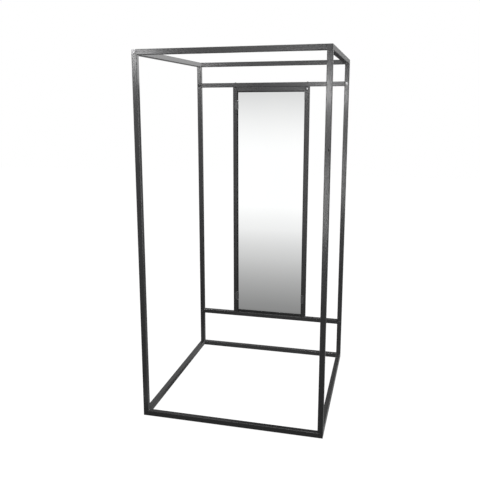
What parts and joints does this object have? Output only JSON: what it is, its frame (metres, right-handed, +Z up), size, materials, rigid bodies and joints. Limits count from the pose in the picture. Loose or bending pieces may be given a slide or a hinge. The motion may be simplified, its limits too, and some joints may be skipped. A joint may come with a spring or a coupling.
{
  "type": "portable fitting room",
  "caption": "Free-standing open booth frame of dark square steel tube with a tall framed mirror hung between two crossbars at the back",
  "frame": {"origin": "middle of the footprint, on the floor", "axes": "+Z up along the posts, +Y from the open front to the mirror at the back, +X to the right as seen from the front"},
  "size_m": [1.06, 1.15, 2.1],
  "materials": {
    "frame_steel": "dark gunmetal coating, semi-gloss, lightly worn",
    "corner_block": "dark gunmetal coating over die-cast aluminium, semi-gloss",
    "joiner_steel": "bare milled steel",
    "plug_plastic": "black moulded nylon",
    "bright_screw": "bright plated steel",
    "dark_screw": "blackened steel",
    "clip_steel": "grey plated steel, satin",
    "mirror_glass": "silvered float glass",
    "backing_board": "brown hardboard",
    "edge_rubber": "black rubber channel"
  },
  "bodies": {
    "root": {"corner_bottom_front_left": "corner_block", "corner_bottom_front_right": "corner_block", "corner_bottom_back_left": "corner_block", "corner_bottom_back_right": "corner_block", "corner_top_front_left": "corner_block", "corner_top_front_right": "corner_block", "corner_top_back_left": "corner_block", "corner_top_back_right": "corner_block", "post_front_left": "frame_steel", "post_front_right": "frame_steel", "post_back_left": "frame_steel", "post_back_right": "frame_steel", "bottom_rail_front": "frame_steel", "bottom_rail_back": "frame_steel", "bottom_rail_left": "frame_steel", "bottom_rail_right": "frame_steel", "top_rail_front": "frame_steel", "top_rail_back": "frame_steel", "top_rail_left": "frame_steel", "top_rail_right": "frame_steel", "crossbar_upper": "frame_steel", "crossbar_joiner_upper_left": "joiner_steel", "crossbar_bolt_upper_left": "dark_screw", "mirror_clip_upper_left": "clip_steel", "stile_bolt_upper_left": "dark_screw", "clip_screw_upper_left_bottom": "bright_screw", "clip_screw_upper_left_top": "bright_screw", "crossbar_joiner_upper_right": "joiner_steel", "crossbar_bolt_upper_right": "bright_screw", "mirror_clip_upper_right": "clip_steel", "stile_bolt_upper_right": "dark_screw", "clip_screw_upper_right_bottom": "bright_screw", "clip_screw_upper_right_top": "bright_screw", "crossbar_lower": "frame_steel", "crossbar_joiner_lower_left": "joiner_steel", "crossbar_bolt_lower_left": "dark_screw", "mirror_clip_lower_left": "clip_steel", "stile_bolt_lower_left": "dark_screw", "clip_screw_lower_left_bottom": "bright_screw", "clip_screw_lower_left_top": "bright_screw", "crossbar_joiner_lower_right": "joiner_steel", "crossbar_bolt_lower_right": "dark_screw", "mirror_clip_lower_right": "clip_steel", "stile_bolt_lower_right": "dark_screw", "clip_screw_lower_right_bottom": "bright_screw", "clip_screw_lower_right_top": "bright_screw", "mirror_head_rail": "frame_steel", "mirror_stile_left": "frame_steel", "mirror_stop_left": "frame_steel", "stile_plug_left": "plug_plastic", "stile_screw_left": "dark_screw", "mirror_stile_right": "frame_steel", "mirror_stop_right": "frame_steel", "stile_plug_right": "plug_plastic", "stile_screw_right": "bright_screw", "mirror_channel": "frame_steel", "mirror_glass": "mirror_glass", "mirror_backing_board": "backing_board", "mirror_edge_gasket": "edge_rubber"}
  },
  "joints": []
}
